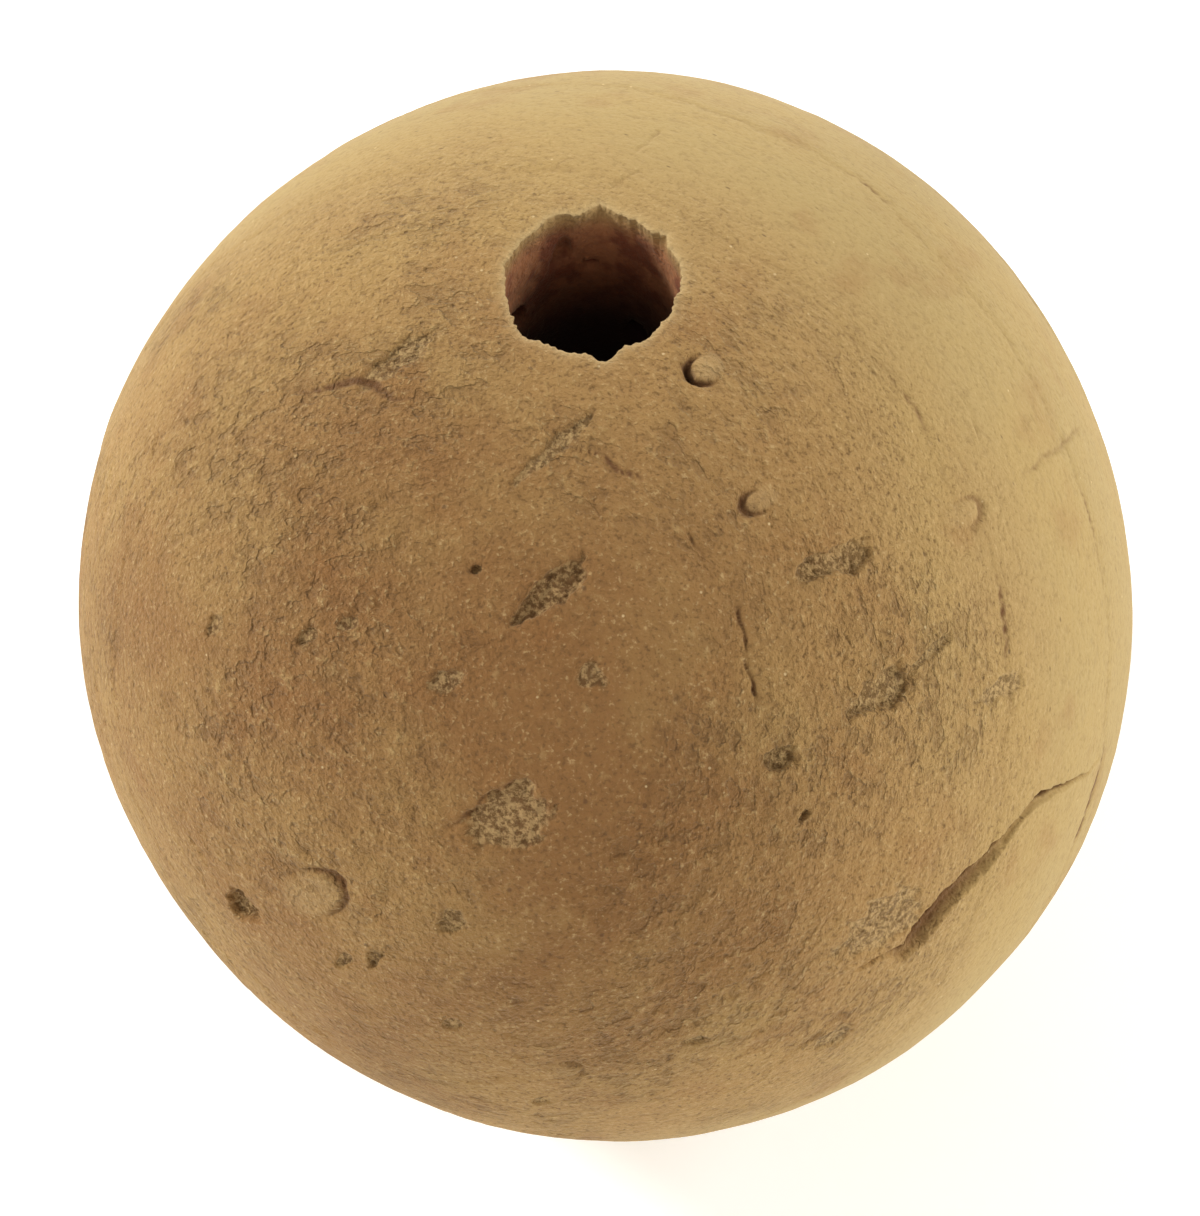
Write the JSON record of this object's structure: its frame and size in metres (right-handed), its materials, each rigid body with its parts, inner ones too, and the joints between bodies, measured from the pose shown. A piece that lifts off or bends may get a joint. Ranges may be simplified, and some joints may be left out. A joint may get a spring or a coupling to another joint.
{
  "type": "massage ball",
  "caption": "Turned and sanded ball of natural cork with a drilled through bore and a split along the grain.",
  "frame": {"origin": "centre of the ball, on the axis of the bore, half way along it", "axes": "+Z along the bore, out of its better finished mouth; +X and +Y across the ball, with the split on the +X -Y shoulder"},
  "size_m": [0.0397, 0.04, 0.0394],
  "materials": {
    "cork": "matte"
  },
  "bodies": {
    "root": {"cork_ball": "cork"}
  },
  "joints": []
}
